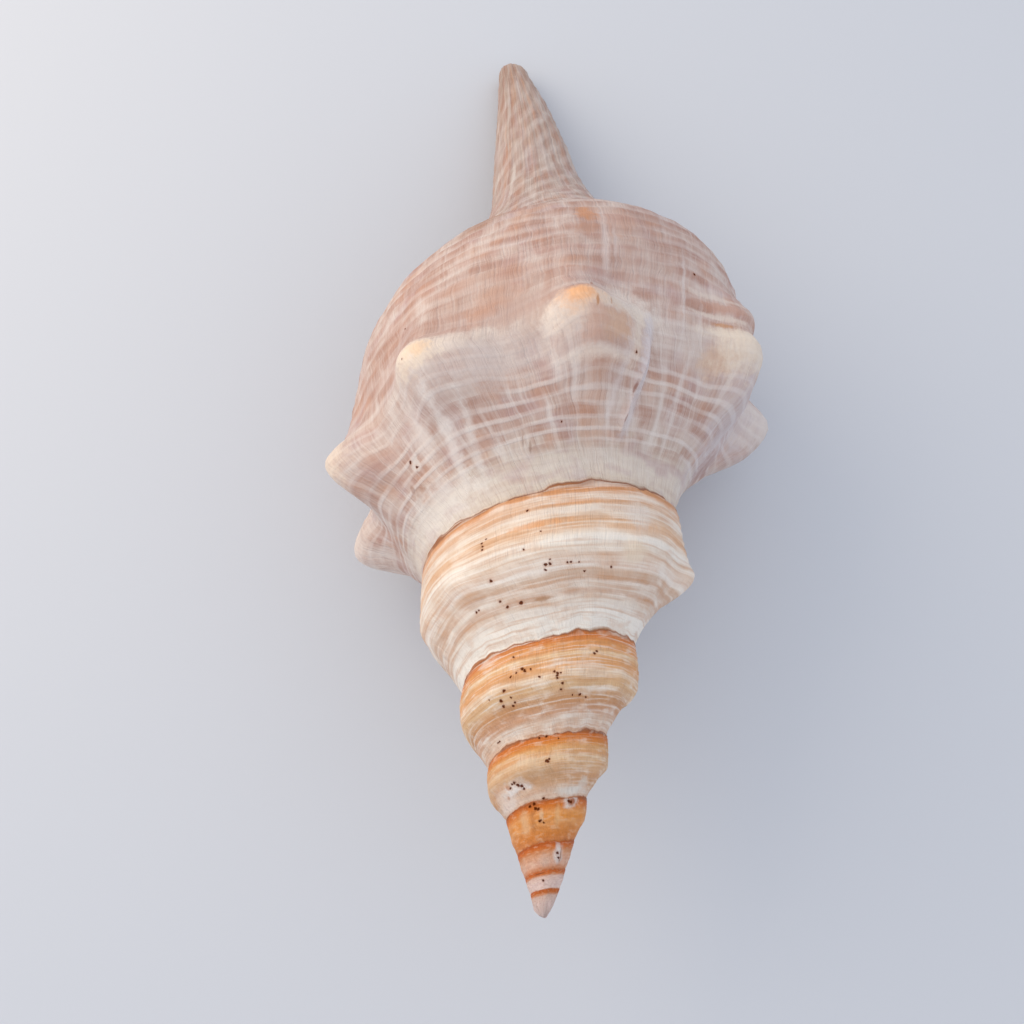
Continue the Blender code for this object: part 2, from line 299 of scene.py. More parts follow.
tree = bpy.data.node_groups.new("winding", "GeometryNodeTree")
winding_inputs = (
    ("Sections", "NodeSocketObject", sections), ("Growth", "NodeSocketObject", growth),
    ("Rings per whorl", "NodeSocketInt", RINGS), ("Whorls", "NodeSocketInt", WHORLS),
    ("Columns to the seam", "NodeSocketInt", SPIRE_COLUMNS),
    ("Columns to the tip", "NodeSocketInt", BASE_COLUMNS),
    ("Lap height", "NodeSocketFloat", LAP_HEIGHT), ("Scallop", "NodeSocketFloat", SCALLOP),
    ("Scallops per whorl", "NodeSocketFloat", SCALLOPS_PER_WHORL),
    ("Material", "NodeSocketMaterial", outside),
)
for label, kind, value in winding_inputs:
    tree.interface.new_socket(label, in_out="INPUT", socket_type=kind)
tree.interface.new_socket("Geometry", in_out="OUTPUT", socket_type="NodeSocketGeometry")
given = tree.nodes.new("NodeGroupInput").outputs

# two grids of rings and columns: one from seam to seam, one over the base of the last whorl
rings, seam_column = given["Rings per whorl"], given["Columns to the seam"]
all_rings = add(tree, M, (rings, given["Whorls"]), operation="MULTIPLY")
index = add(tree, "GeometryNodeInputIndex")
join = tree.nodes.new("GeometryNodeJoinGeometry")
for ring_steps, column_steps, first_column in (
    (all_rings, seam_column, 0), (rings, given["Columns to the tip"], seam_column),
):
    across = add(tree, M, (ring_steps, 1), operation="ADD")
    down = add(tree, M, (column_steps, 1), operation="ADD")
    sheet = add(tree, "GeometryNodeMeshGrid", {"Vertices X": across, "Vertices Y": down})
    ring = add(tree, M, (add(tree, M, (index, down), operation="DIVIDE"),), operation="FLOOR")
    column = add(tree, M, (index, down), operation="MODULO")
    column = add(tree, M, (column, first_column), operation="ADD")
    for name, value in (("ring", ring), ("column", column)):
        sheet = add(tree, STORE, {"Geometry": sheet, "Name": name, "Value": value},
                    data_type="INT")
    tree.links.new(sheet, join.inputs[0])

# where a whorl ends on the next one's seam, its last vertex is that seam's vertex one turn on
ring = add(tree, READ, {"Name": "ring"}, data_type="INT")
column = add(tree, READ, {"Name": "column"}, data_type="INT")
at_end = add(tree, "FunctionNodeCompare", {2: column, 3: seam_column}, data_type="INT",
             operation="EQUAL")
inner = add(tree, "FunctionNodeCompare", {2: ring, 3: rings}, data_type="INT",
            operation="GREATER_EQUAL")
seam = add(tree, "FunctionNodeBooleanMath", (at_end, inner), operation="AND")
seam_ring = add(tree, M, (ring, rings), operation="SUBTRACT")
ring_used = add(tree, "GeometryNodeSwitch", {"Switch": seam, "False": ring, "True": seam_ring},
                input_type="INT")
column_used = add(tree, "GeometryNodeSwitch", {"Switch": seam, "False": column, "True": 0},
                  input_type="INT")
table_points, lookup = {}, {}
for source, position, keys in (
    ("Sections", column_used,
     "spire first lip early late knob face ledge slant lap wander swell cord cord_height"),
    ("Growth", ring_used, "size grown fill drop bulge plain lumps"),
):
    table_points[source] = add(tree, "GeometryNodeObjectInfo", (given[source],), output=4)
    for key in keys.split():
        kind = "FLOAT_VECTOR" if key in ("spire", "first", "lip") else "FLOAT"
        value = add(tree, READ, {"Name": key}, data_type=kind)
        lookup[key] = add(tree, PICK, {"Geometry": table_points[source], "Value": value,
                                       "Index": position}, data_type=kind)

# a knob's crest leans back on the ramp, so its height is read some rings behind
behind = add(tree, M, (ring_used, lookup["slant"]), operation="ADD")
lower_ring = add(tree, M, (behind,), operation="FLOOR")
part_ring = add(tree, M, (behind,), operation="FRACT")
next_ring = add(tree, M, (lower_ring, 1.0), operation="ADD")
for key in ("rise", "block"):
    value = add(tree, READ, {"Name": key})
    near, far = [add(tree, PICK, {"Geometry": table_points["Growth"], "Value": value, "Index": at},
                     clamp=True) for at in (lower_ring, next_ring)]
    lookup[key] = add(tree, "ShaderNodeMix", {0: part_ring, 2: near, 3: far})
measured = []
position = add(tree, "GeometryNodeInputPosition")
for source, at in (("Growth", ring_used), ("Sections", column_used), ("Growth", ring),
                   ("Sections", column)):
    spot = add(tree, PICK, {"Geometry": table_points[source], "Value": position, "Index": at},
               data_type="FLOAT_VECTOR")
    measured.append(add(tree, "ShaderNodeSeparateXYZ", (spot,), output=2))
turn, t, own_turn, own_t = measured

# the section at this ring: the spire repeats one section, the last whorl grows into the lip's
is_last = add(tree, "FunctionNodeCompare", {2: ring_used, 3: rings}, data_type="INT",
              operation="LESS_EQUAL")
on_spire = add(tree, V, {0: lookup["spire"], 3: lookup["size"]}, operation="SCALE")
share = add(tree, M, (lookup["fill"], lookup["early"], lookup["grown"]), operation="MULTIPLY_ADD")
late = add(tree, M, (lookup["drop"], lookup["late"]), operation="MULTIPLY")
share = add(tree, M, (share, late), operation="SUBTRACT")
on_last = add(tree, "ShaderNodeMix", {0: share, 4: lookup["first"], 5: lookup["lip"]}, output=1,
              data_type="VECTOR", clamp_factor=False)
section = add(tree, "GeometryNodeSwitch", {"Switch": is_last, "False": on_spire, "True": on_last},
              input_type="VECTOR")
part = add(tree, "ShaderNodeSeparateXYZ", (section,)).node.outputs
bump = add(tree, M, (lookup["rise"], lookup["knob"]), operation="MULTIPLY")
bump = add(tree, M, (lookup["block"], lookup["face"], bump), operation="MULTIPLY_ADD")
bump = add(tree, M, (lookup["bulge"], lookup["ledge"], bump), operation="MULTIPLY_ADD")
out = add(tree, M, (part[1], bump), operation="ADD")
flat = add(tree, M, (lookup["swell"], lookup["plain"]), operation="MULTIPLY")
flat = add(tree, M, (flat, lookup["size"]), operation="MULTIPLY")
out = add(tree, M, (out, flat), operation="SUBTRACT")
full = add(tree, RANGE, {0: part[0], 2: TIP_ENDS[0], 4: TIP_FULL})
fade = add(tree, RANGE, {0: part[0], 2: TIP_ENDS[1], 3: 1.0, 4: 0.0})
out = add(tree, M, (full, fade, out), operation="MULTIPLY_ADD")

# the seam wanders along the axis in scallops, and both whorls follow it
lobe_share, wave_share, wave_turns = SCALLOP_MIX
beat = add(tree, M, (turn, given["Scallops per whorl"]), operation="MULTIPLY")
lobes = add(tree, NOISE, {"W": beat, "Scale": 1.0, "Detail": 2.0}, noise_dimensions="1D")
lobes = add(tree, M, (lobes, lobe_share, -lobe_share / 2), operation="MULTIPLY_ADD")
wave = add(tree, M, (turn, math.tau / wave_turns), operation="MULTIPLY")
wave = add(tree, M, (wave,), operation="SINE")
wave = add(tree, M, (wave, wave_share, lobes), operation="MULTIPLY_ADD")
depth = add(tree, M, (given["Scallop"], lookup["size"]), operation="MULTIPLY")
depth = add(tree, M, (depth, lookup["wander"]), operation="MULTIPLY")
along = add(tree, M, (wave, depth, part[0]), operation="MULTIPLY_ADD")

# from the section to the shell's own axis, with the canal's swing, and to how the shell lies
reach = add(tree, RANGE, {0: along, 1: CANAL_START, 2: CANAL_END}, clamp=False)
reach = add(tree, M, (reach, 0.0), operation="MAXIMUM")
bow = add(tree, M, (add(tree, M, (reach, 1.0), operation="MINIMUM"), math.pi), operation="MULTIPLY")
bow = add(tree, M, (add(tree, M, (bow,), operation="SINE"), CANAL_SIDE), operation="MULTIPLY")
swing = add(tree, M, (reach, 2.0), operation="POWER")
side = add(tree, M, (swing, CANAL_SWING, bow), operation="MULTIPLY_ADD")
sag = add(tree, M, (add(tree, M, (reach, 3.0), operation="POWER"), CANAL_SAG), operation="MULTIPLY")
azimuth = add(tree, M, (turn, -math.tau, math.pi / 2), operation="MULTIPLY_ADD")
x = add(tree, M, (azimuth,), operation="COSINE")
x = add(tree, M, (x, out, side), operation="MULTIPLY_ADD")
z = add(tree, M, (azimuth,), operation="SINE")
z = add(tree, M, (z, out, sag), operation="MULTIPLY_ADD")
spot = add(tree, "ShaderNodeCombineXYZ", (x, along, z))
spot = add(tree, "ShaderNodeVectorRotate", {"Vector": spot, "Angle": -AXIS_DIP},
           rotation_type="X_AXIS")
spot = add(tree, V, (spot, AXIS_START), operation="ADD")

# low relief: cords along the winding, swells across it, wear, lumps, scars, and the lap
sway = add(tree, NOISE, {"Vector": spot, "Scale": 70.0, "Detail": 2.0})
sway = add(tree, M, (sway, CORD_SWAY, -CORD_SWAY / 2), operation="MULTIPLY_ADD")
cord = add(tree, M, (lookup["cord"], sway), operation="ADD")
cord = add(tree, M, (add(tree, M, (cord, math.tau), operation="MULTIPLY"),), operation="COSINE")
relief = add(tree, M, (cord, lookup["cord_height"]), operation="MULTIPLY")
swell_at = add(tree, "ShaderNodeCombineXYZ", (
    add(tree, M, (turn, SWELLS_PER_TURN), operation="MULTIPLY"),
    add(tree, M, (t, SWELLS_PER_STEP), operation="MULTIPLY")))
swell = add(tree, NOISE, {"Vector": swell_at, "Scale": 1.0, "Detail": 2.0}, noise_dimensions="2D")
wear = add(tree, NOISE, {"Vector": spot, "Scale": 110.0, "Detail": 3.0})
lumps = add(tree, NOISE, {"Vector": spot, "Scale": 230.0, "Detail": 3.0})
lumpy = add(tree, M, (lookup["lumps"], 2.0), operation="MULTIPLY")
for pattern, height in ((swell, SWELL_HEIGHT), (wear, WEAR_HEIGHT), (lumps, lumpy)):
    centred = add(tree, M, (pattern, 0.5), operation="SUBTRACT")
    relief = add(tree, M, (centred, height, relief), operation="MULTIPLY_ADD")
for degrees, at, wide, tall, rise in RELIEF_SPOTS:
    over = add(tree, M, (own_turn, (90 - degrees) / 360), operation="SUBTRACT")
    over = add(tree, M, (over, 360 / wide), operation="MULTIPLY")
    down = add(tree, M, (own_t, at), operation="SUBTRACT")
    down = add(tree, M, (down, 1 / tall), operation="MULTIPLY")
    off = add(tree, V, (add(tree, "ShaderNodeCombineXYZ", (over, down)),), output=1,
              operation="LENGTH")
    near = add(tree, RANGE, {0: off, 1: SPOT_EDGE[0], 2: SPOT_EDGE[1]},
               interpolation_type="SMOOTHSTEP")
    relief = add(tree, M, (near, rise, relief), operation="MULTIPLY_ADD")
relief = add(tree, M, (lookup["lap"], given["Lap height"], relief), operation="MULTIPLY_ADD")
relief = add(tree, M, (relief, lookup["size"]), operation="MULTIPLY")

place_uv = add(tree, "ShaderNodeCombineXYZ", (own_turn, own_t))
shaped = join.outputs[0]
for name, value, kind, domain in (
    ("spot", spot, "FLOAT_VECTOR", "POINT"), ("relief", relief, "FLOAT", "POINT"),
    ("place", place_uv, "FLOAT_VECTOR", "POINT"), ("winding", "place", "FLOAT2", "CORNER"),
):
    if value == "place":
        value = add(tree, READ, {"Name": value}, data_type="FLOAT_VECTOR")
    shaped = add(tree, STORE, {"Geometry": shaped, "Name": name, "Value": value}, data_type=kind,
                 domain=domain)
spot = add(tree, READ, {"Name": "spot"}, data_type="FLOAT_VECTOR")
shaped = add(tree, "GeometryNodeSetPosition", {"Geometry": shaped, "Position": spot})
joined = add(tree, "GeometryNodeMergeByDistance", {"Geometry": shaped, "Distance": WELD})
height = add(tree, READ, {"Name": "relief"})
push = add(tree, V, {0: add(tree, "GeometryNodeInputNormal"), 3: height}, operation="SCALE")
raised = add(tree, "GeometryNodeSetPosition", {"Geometry": joined, "Offset": push})
real = add(tree, "GeometryNodeRealizeInstances", {"Geometry": raised})
dressed = add(tree, "GeometryNodeSetMaterial", {"Geometry": real, "Material": given["Material"]})
tree.links.new(dressed, tree.nodes.new("NodeGroupOutput").inputs[0])

wound = bpy.data.objects.new("shell_outside", bpy.data.meshes.new("seed"))
bpy.context.scene.collection.objects.link(wound)
modifier = wound.modifiers.new("winding", "NODES")
modifier.node_group = tree
sockets = {item.name: item.identifier for item in tree.interface.items_tree
           if item.in_out == "INPUT"}
for label, kind, value in winding_inputs:
    modifier[sockets[label]] = value
evaluated = wound.evaluated_get(bpy.context.evaluated_depsgraph_get())
mesh = bpy.data.meshes.new_from_object(evaluated)
for helper in (wound, sections, growth):
    bpy.data.objects.remove(helper)


# The finish of the outside: beach-worn calcite, chalky and matt, with a trace of polish. Colour
# was laid down in bands along the winding, orange on the spire and mauve-tan on the last whorl.
# White threads follow the winding, growth lines cross it, and small borers have left brown pits.

# The dark stops at steps 0 and 6, beside each seam, are partly dirt and partly painted shade under
# the lap.
BANDS = (                   # how many steps, from which turn back, and the colour at each step
    (12, 0, (
        (0, "#A9886F"), (0.1, "#DCCEBF"), (0.6, "#DCD1C6"), (0.95, "#D3C6BA"), (1.2, "#C9B7AB"),
        (1.5, "#C2A79C"), (2, "#C1A69C"), (2.4, "#C4AFA8"), (2.8, "#CBB9B2"), (3.15, "#D0C1BB"),
        (3.5, "#C5A79D"), (4, "#C4A398"), (4.6, "#C2A095"), (5.2, "#C5A69C"), (6, "#C3A59B"),
        (7, "#B79A90"), (8.5, "#AB9187"), (10.5, "#B39B90"), (12, "#B69682"))),
    (6, -0.5, (
        (0, "#9A7254"), (0.1, "#F0EAE2"), (0.8, "#F0EAE2"), (1.05, "#E6DBD1"), (1.3, "#E0D0C2"),
        (1.55, "#CFAF9A"), (1.75, "#E2D4C8"), (2, "#D0B09A"), (2.3, "#D6BCA8"), (2.5, "#EEE3DA"),
        (2.8, "#E2CAB8"), (3, "#E2CDBC"), (3.25, "#E6D9CC"), (3.5, "#EEE7DF"), (3.75, "#EEDFD0"),
        (4, "#E4C1A4"), (4.3, "#E0B896"), (4.55, "#E0C5AE"), (4.8, "#EADCD0"), (5, "#E8D3C1"),
        (5.2, "#DBB293"), (5.45, "#E7CFBC"), (5.68, "#DAA27A"), (5.88, "#CC8E60"),
        (6, "#8F552F"))),
    (6, -1.5, (
        (0, "#9C5F36"), (0.12, "#DDBCA6"), (0.7, "#E2CEBE"), (1, "#DCC0AC"), (1.3, "#D0A488"),
        (1.65, "#CB9B79"), (2, "#C79468"), (2.3, "#D6B08E"), (2.65, "#DFB98F"), (3, "#DDB48A"),
        (3.3, "#EBD4BC"), (3.6, "#E2B184"), (3.95, "#E0A168"), (4.3, "#E2AE7C"), (4.65, "#E8C69E"),
        (4.95, "#E09C62"), (5.3, "#E09A5A"), (5.6, "#D67E36"), (5.88, "#CA7028"), (6, "#9A5523"))),
    (6, -2.5, (
        (0, "#9C5A2E"), (0.15, "#DCB8A0"), (0.6, "#E2C6B2"), (1, "#DEBA9E"), (1.6, "#D6A882"),
        (2.1, "#D6A276"), (2.6, "#DEB690"), (3.1, "#DEB48A"), (3.6, "#E0BC96"), (4, "#DEA572"),
        (4.5, "#E0AE78"), (5, "#DA8730"), (5.4, "#D6781C"), (5.8, "#CE6A10"), (6, "#8F4D1C"))),
    (6, -3.5, (
        (0, "#B45C20"), (0.4, "#DE8A4A"), (1.2, "#E08838"), (2, "#E49248"), (2.8, "#EEA664"),
        (3.4, "#E8943C"), (4.2, "#EDA25C"), (5, "#DE7C20"), (5.6, "#D26A0A"), (6, "#9E5016"))),
    (6, -4.5, (
        (0, "#D06818"), (0.6, "#E49A70"), (1.8, "#F0C0A8"), (3, "#ECB494"), (4.2, "#E29A6C"),
        (4.8, "#E0803A"), (5.3, "#DA6C18"), (6, "#C45C10"))),
    (6, -5.5, (
        (0, "#E4AC8C"), (0.5, "#FFE2DA"), (2.5, "#FBDDD5"), (4.2, "#F6D2C4"), (4.8, "#E8986A"),
        (5.2, "#DE7428"), (6, "#D4661C"))),
)
BLEND_TURN = 0.10           # half of the turn over which one whorl's bands become the next's
STAINS_AND_SHADE = (                  # azimuth, step, half widths in degrees and steps, edge, colour, share
    (118, 3.12, 15, 0.22, 0.7, "#E6DAD0", 0.75), (124.5, 3.02, 6, 0.3, 0.6, "#F0DFCC", 0.75),
    (123, 3.1, 3, 0.16, 0.6, "#F2CBA4", 0.6), (105, 2.72, 11, 0.42, 0.8, "#D3C8C5", 0.65),
    (85, 3, 6, 0.3, 0.6, "#E6D3C4", 0.7), (66, 3.22, 5, 0.2, 0.6, "#E9DFD6", 0.75),
    (75, 3.05, 10, 0.16, 0.6, "#E7D5C3", 0.6), (84.3, 3.14, 3.4, 0.22, 0.9, "#F0AE74", 0.85),
    (74, 2.7, 4.4, 0.22, 0.6, "#D3A888", 0.65), (80.5, 2.62, 3, 0.26, 0.6, "#D0A28C", 0.5),
    # the two lilac-grey spots near 63 degrees are the pale scar with painted bluish shade in its
    # groove
    (63.2, 2.6, 2, 0.6, 0.6, "#D6D0D6", 0.7), (62.5, 1.75, 2, 0.6, 0.8, "#D4CCD0", 0.6),
    (64.4, 1.98, 0.35, 0.1, 0.5, "#8A5748", 0.75), (63.8, 1.52, 0.3, 0.07, 0.5, "#8A5748", 0.6),
    (80.6, 2.94, 0.35, 0.12, 0.5, "#B87A48", 0.8), (77, 3.02, 0.25, 0.07, 0.5, "#B57A50", 0.6),
    (80.5, 3.62, 0.5, 0.05, 0.5, "#A0603A", 0.75), (79.5, 6.2, 2.8, 0.3, 0.5, "#CC8A58", 0.8),
    (80, 5.6, 2.8, 0.2, 0.5, "#C08E74", 0.6), (75.2, 5.1, 1, 1.1, 0.8, "#E2D8D6", 0.65),
    (72.6, 5.1, 0.5, 0.6, 0.7, "#E0D5D3", 0.5), (71.5, 3.42, 6, 0.36, 0.7, "#E6DCD5", 0.75),
    (96, 3.35, 9, 0.7, 0.8, "#AE968E", 0.4), (107, 3.9, 16, 1, 0.8, "#AE938A", 0.28),
    (111, 7, 8, 0.45, 0.7, "#A07C68", 0.6), (101, 4.5, 7, 0.22, 0.8, "#BE8C74", 0.4),
    (104, 4, 6, 0.25, 0.8, "#BE8E78", 0.4), (115, 4.6, 5, 0.15, 0.8, "#B8836C", 0.35),
    (108, 3.7, 4, 0.13, 0.4, "#BC8A72", 0.45), (38.5, 2.7, 4.5, 0.24, 0.6, "#CDA587", 0.55),
    (38, 3.28, 7, 0.16, 0.6, "#E8DACB", 0.7), (39, 3.5, 2.4, 0.06, 0.5, "#C48C5E", 0.65),
    (40, 3.72, 9, 0.07, 0.5, "#DED0C6", 0.7), (40, 3.96, 8, 0.12, 0.5, "#BE8F7C", 0.6),
    (41, 4.22, 9, 0.07, 0.5, "#DBCCC3", 0.65), (51.5, 4.1, 0.5, 1, 0.8, "#DCD2D0", 0.6),
    (47, 2.2, 0.9, 0.6, 0.8, "#DCD4D2", 0.45), (124, 1.8, 2.2, 0.9, 0.8, "#E6DEDA", 0.65),
    (116, 1.6, 1.4, 0.7, 0.8, "#E2DAD6", 0.6), (134, 2.1, 3, 0.8, 0.8, "#E4DAD5", 0.6),
    (70, 2, 1.2, 0.6, 0.8, "#DCD2D0", 0.5), (173, 2.95, 8, 0.45, 0.7, "#EBD8C5", 0.7),
    (213, 3, 14, 0.9, 0.8, "#E8DAD0", 0.7), (78, 2.27, 7.5, 0.06, 0.9, "#EADCD0", 0.65),
    (67.6, 2.75, 1.6, 0.45, 0.9, "#EADCCE", 0.7), (152, 2.3, 9, 0.2, 0.5, "#B98F80", 0.4),
    (146, 1.42, 3.4, 0.1, 0.5, "#A4735A", 0.6), (148.5, 1.55, 1.2, 0.08, 0.4, "#93614A", 0.55),
    (141.5, 1.82, 2, 0.12, 0.4, "#E4DCD6", 0.7), (112, 1.45, 4, 0.12, 0.5, "#B9968A", 0.5),
    (96.5, 1.12, 0.5, 0.12, 0.4, "#8F6A58", 0.55), (99, 1.26, 0.35, 0.12, 0.4, "#8F6A58", 0.45),
    (31, 3.02, 8, 0.46, 0.7, "#EBDDCC", 0.65), (142, 0.75, 22, 0.6, 0.6, "#EDE7E2", 0.5),
    (100, 3.5, 9, 0.22, 0.6, "#B99B92", 0.45), (90, 2.86, 2.6, 0.22, 0.6, "#E9DDD4", 0.6),
    # the blue-grey patch at 8 degrees is painted bluish shade on the lip side
    (70, 5.2, 17, 1.5, 0.9, "#A98A82", 0.32), (8, 2.2, 16, 1.1, 0.8, "#CFCBD4", 0.5),
    (-12, 3, 8, 0.5, 0.7, "#DDD5D2", 0.6), (-3, 1.6, 10, 0.3, 0.5, "#A98078", 0.55),
    (455, 4.3, 12, 0.16, 0.5, "#E39A5C", 0.55), (437, 5.15, 10, 0.12, 0.5, "#DE9E6B", 0.5),
    (452.5, 1.42, 5, 0.07, 0.5, "#A9784E", 0.65), (412, 3, 5, 0.4, 0.6, "#E4D3BE", 0.6),
    (410, 4.6, 6, 0.6, 0.7, "#E6E0DC", 0.5), (1210, 1.7, 18, 0.55, 0.5, "#EFEAE8", 0.85),
    (1228, 0.8, 18, 0.6, 0.6, "#E9DCD6", 0.7), (1236, 1.7, 12, 0.8, 0.7, "#E8D2C4", 0.6),
    (1216, 2.1, 3, 0.2, 0.6, "#B8744A", 0.7), (1222, 1.3, 2.5, 0.16, 0.6, "#B8744A", 0.6),
    (1132, 0.6, 20, 0.34, 0.7, "#EAE3DC", 0.85), (1120, 1.3, 8, 0.5, 0.4, "#E3D8CE", 0.6),
    (1493, 5.35, 10, 0.8, 0.5, "#EDE7E2", 0.8), (1491.5, 5.35, 5, 0.5, 0.5, "#A95A26", 0.9),
    (1536, 3.8, 3, 0.9, 0.5, "#E6C7A4", 0.6), (1202, 2.3, 8, 0.3, 0.4, "#E3D6CC", 0.7),
    (1172, 4.6, 7, 0.34, 0.4, "#DD9C58", 0.6), (1143, 4.7, 6, 0.3, 0.4, "#D9924A", 0.6),
    (1143, 3.9, 5, 0.22, 0.4, "#D39A62", 0.6), (1180, 2.2, 24, 0.7, 0.7, "#BE956F", 0.5),
    (1186, 3.7, 11, 0.6, 0.7, "#E6CDAF", 0.55), (1160, 3.8, 6, 0.6, 0.7, "#E6CDAF", 0.5),
    (1565, 3.5, 8, 1.6, 0.7, "#E9BC90", 0.7), (1550, 3.4, 4, 1.6, 0.7, "#B06A32", 0.5),
    (1512, 3.6, 4, 1.4, 0.7, "#E8BC8A", 0.5), (1860, 3.8, 10, 1.6, 0.6, "#F0E8E6", 0.85),
    (1856, 2.2, 8, 0.9, 0.6, "#ECE2DF", 0.75), (1853, 3, 2.5, 1.6, 0.4, "#B06A3C", 0.7),
    (1890, 2.4, 12, 1.4, 0.6, "#E8C4B0", 0.6), (2264, 5.5, 10, 0.2, 0.5, "#8A4A28", 0.6),
    (2276, 5.4, 8, 0.16, 0.5, "#8A4A28", 0.6),
)
PITS = (                    # azimuth, step and width in mm of the borers' pits, whorl by whorl
    ((142.3, 1.86, 0.9), (141, 1.78, 0.8), (67.5, 2.35, 0.8), (86, 1.55, 0.5), (127.5, 2.95, 0.4),
     (48, 4.7, 0.9), (47.6, 4.6, 0.7), (133, 4.3, 0.6)),
    ((89, 2.55, 0.8), (90.6, 2.5, 0.7), (91.8, 2.44, 0.5), (88.4, 2.62, 0.5), (72.5, 2.3, 0.6),
     (80, 2.52, 0.6), (81.2, 2.5, 0.6), (76, 2.5, 0.5), (117, 2.55, 1), (116.2, 2.46, 0.8),
     (103.5, 1.42, 1), (102.8, 1.5, 0.8), (110.5, 1.45, 0.8), (114.5, 1.75, 0.7), (128, 1.8, 0.6),
     (126.5, 1.82, 0.5), (99, 5.05, 0.7), (117, 4.35, 0.5), (117.6, 4.2, 0.5), (118.4, 4.05, 0.5),
     (118.8, 3.9, 0.6), (92, 3.9, 0.4), (60, 2.4, 0.5), (100, 3.3, 0.5)),
    ((83, 3.1, 0.7), (84, 3.28, 0.7), (85.6, 3.4, 0.6), (80, 2.75, 0.7), (81, 2.45, 0.7),
     (82, 3.3, 0.5), (84.5, 3.05, 0.6), (66, 2.05, 0.7), (95, 3.3, 0.6), (118, 3.05, 0.8),
     (121, 2.5, 0.8), (122, 2.25, 0.8), (113, 2.3, 0.7), (113.6, 2.05, 0.7), (114, 2.6, 0.5),
     (131, 2.9, 0.5), (103, 3.95, 0.8), (106, 4, 0.7), (109, 3.95, 0.6), (100, 3.9, 0.6),
     (60, 4.5, 0.7), (58.5, 4.62, 0.6), (113, 3.7, 0.6), (110, 5.1, 0.5), (72, 2.1, 0.5),
     (60, 1.9, 0.5), (140, 0.6, 0.5), (138, 0.5, 0.5)),
    ((125, 2.2, 0.8), (121, 2, 0.9), (118, 1.75, 0.8), (117, 1.5, 0.7), (132, 1.95, 0.6),
     (128, 2.3, 0.5), (90, 3.3, 0.8), (88, 3.4, 0.7), (92, 0.2, 0.6), (96, 5.8, 0.6),
     (90, 5.82, 0.6), (78, 5.5, 0.5)),
    ((113, 5.7, 0.8), (106, 5.75, 0.9), (103, 5.1, 0.8), (100, 4.9, 0.7), (99, 3.2, 0.8),
     (92, 2.9, 0.5), (56, 5.5, 0.9), (53, 5.3, 0.8)),
    ((62, 3.4, 0.7), (58, 2.6, 0.6)),
    ((96, 3, 0.5),),
    ((80, 2.2, 0.7),),
)
WAVER = 0.10                # how far the bands waver in steps, over 16 mm
FLUTTER = 0.06              # and over 5 mm
LINE_LEAD = 0.0155          # turns that a growth line runs ahead for each step of the ramp
CANAL_THREADS = 13.0
CANAL_TWIST = -9.0          # threads that the canal's own slant adds in one turn
STAIN_JITTER = 2.4          # in half widths of the stain
PIT_JITTER = (0.0008, 0.0004, 0.0008)
PIT_RIM = (1.00, 0.30)      # in widths of the pit
PIT_DEPTH = (0.44, 0.26)
# the line along each seam is partly dirt and partly painted shade under the lap
LAP_DIRT_AND_SHADE = (0.07, 0.02)     # where the brown line under each lap ends, in steps
BUMP_HEIGHT = 0.00034

tree = outside.node_tree
shader = tree.nodes["Principled BSDF"]
winding_uv = add(tree, "ShaderNodeUVMap", uv_map="winding")
turn, own_t = add(tree, "ShaderNodeSeparateXYZ", (winding_uv,)).node.outputs[:2]
on_shell = add(tree, "ShaderNodeTexCoord", output=3)


def tint(colour, share, code, strength):
    """The colour with some of another one laid over it where the share is high."""
    amount = add(tree, M, (share, strength), operation="MULTIPLY")
    return add(tree, "ShaderNodeMix", {0: amount, 6: colour, 7: linear(code)}, output=2,
               data_type="RGBA")


waver = add(tree, NOISE, {"Vector": on_shell, "Scale": 60.0, "Detail": 1.0})
waver = add(tree, RANGE, {0: waver, 1: 0.25, 2: 0.75, 3: -WAVER, 4: WAVER})
flutter = add(tree, NOISE, {"Vector": on_shell, "Scale": 210.0, "Detail": 2.0})
flutter = add(tree, RANGE, {0: flutter, 1: 0.25, 2: 0.75, 3: -FLUTTER, 4: FLUTTER})
wavy_t = add(tree, M, (own_t, waver), operation="ADD")
t = add(tree, M, (wavy_t, flutter), operation="ADD")
colour = None
for steps, turn_from, stops in BANDS:
    factor = add(tree, M, (t, steps), operation="DIVIDE")
    band = add(tree, "ShaderNodeValToRGB", (factor,))
    elements = band.node.color_ramp.elements
    elements[0].color, elements[1].color = linear(stops[0][1]), linear(stops[-1][1])
    for at, code in stops[1:-1]:
        elements.new(at / steps).color = linear(code)
    if colour is None:
        colour = band
    else:
        share = add(tree, RANGE, {0: turn, 1: turn_from + BLEND_TURN, 2: turn_from - BLEND_TURN},
                    interpolation_type="SMOOTHSTEP")
        colour = add(tree, "ShaderNodeMix", {0: share, 6: colour, 7: band}, output=2,
                     data_type="RGBA")

# where things show: on the last, the middle and the early whorls, on the base, on the canal,
# and weaker beside the seam and over the knobs' worn tops
on_last = add(tree, RANGE, {0: turn, 1: -0.62, 2: -0.42})
on_spire = add(tree, M, (1.0, on_last), operation="SUBTRACT")
early = add(tree, RANGE, {0: turn, 1: -2.6, 2: -3.4})
on_middle = add(tree, M, (on_spire, early), operation="SUBTRACT")
on_base = add(tree, RANGE, {0: own_t, 1: 3.2, 2: 3.7})
on_canal = add(tree, RANGE, {0: own_t, 1: 6.5, 2: 8.5})
off_seam = add(tree, RANGE, {0: own_t, 1: 0.85, 2: 1.20, 3: 0.10, 4: 1.0})
from_top = add(tree, M, (own_t, 2.85), operation="SUBTRACT")
from_top = add(tree, M, (from_top,), operation="ABSOLUTE")
off_top = add(tree, RANGE, {0: from_top, 1: 0.30, 2: 0.75, 3: 0.50, 4: 1.0})
showing = add(tree, M, (on_last, off_seam), operation="MULTIPLY")
showing = add(tree, M, (showing, off_top), operation="MULTIPLY")
crossing = add(tree, M, (on_base, -0.5, 1.0), operation="MULTIPLY_ADD")
crossing = add(tree, M, (crossing, showing), operation="MULTIPLY")

